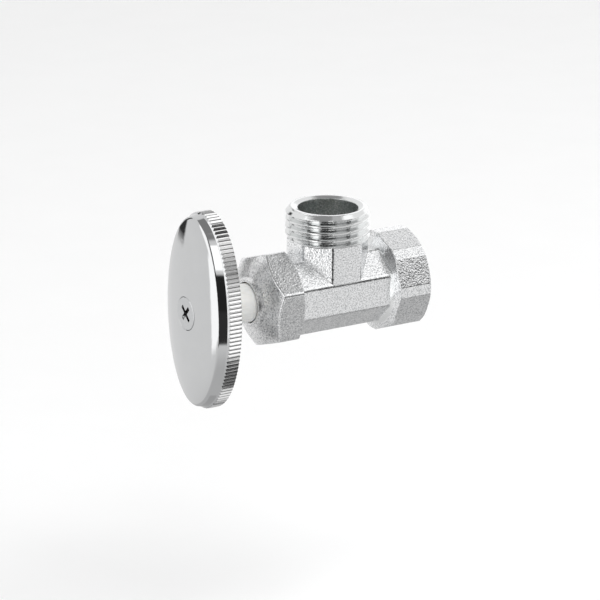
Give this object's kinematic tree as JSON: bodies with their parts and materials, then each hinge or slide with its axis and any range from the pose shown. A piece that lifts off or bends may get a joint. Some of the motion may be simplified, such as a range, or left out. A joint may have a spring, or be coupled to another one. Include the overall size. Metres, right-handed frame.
{
  "type": "needle valve",
  "caption": "Plated angle valve: threaded inlet in line with an oval knurled handle, threaded outlet at right angles, rising stem with a tapered soft plug.",
  "frame": {"origin": "centre of the inlet's mouth, on the run axis, where the valve is screwed on its supply pipe", "axes": "+X out of the inlet along the run axis, with the handle at -X; +Z along the outlet's axis, out of the outlet; -Y the side seen from the front"},
  "size_m": [0.0635, 0.0283, 0.0498],
  "materials": {
    "plated_brass": "satin chrome plate over cast brass",
    "bare_brass": "turned",
    "soft_rubber": "matte",
    "white_plastic": "smooth moulded",
    "steel": "turned",
    "bright_chrome": "polished"
  },
  "bodies": {
    "valve": {"valve_body": "plated_brass", "bonnet_nut": "plated_brass", "gland_washer": "bare_brass", "packing_ring": "soft_rubber", "packing_base_washer": "bare_brass"},
    "plug": {"plug_carrier": "bare_brass", "seat_washer": "soft_rubber", "plug_screw": "steel"},
    "spindle": {"stem": "white_plastic", "handle": "bright_chrome", "handle_screw": "bright_chrome"}
  },
  "joints": [
    {"name": "plug_travel", "type": "slide", "parent": "valve", "child": "plug", "axis": [1, 0, 0], "range_m": [-0.0045, 0]},
    {"name": "handle_turn", "type": "hinge", "parent": "plug", "child": "spindle", "pos_m": [-0.0233, 0, 0], "axis": [1, 0, 0], "range_deg": [-1080, 0]}
  ],
  "couplings": [
    {"joint": "plug_travel", "follows": "handle_turn", "m_per_rad": 0.00023873}
  ]
}
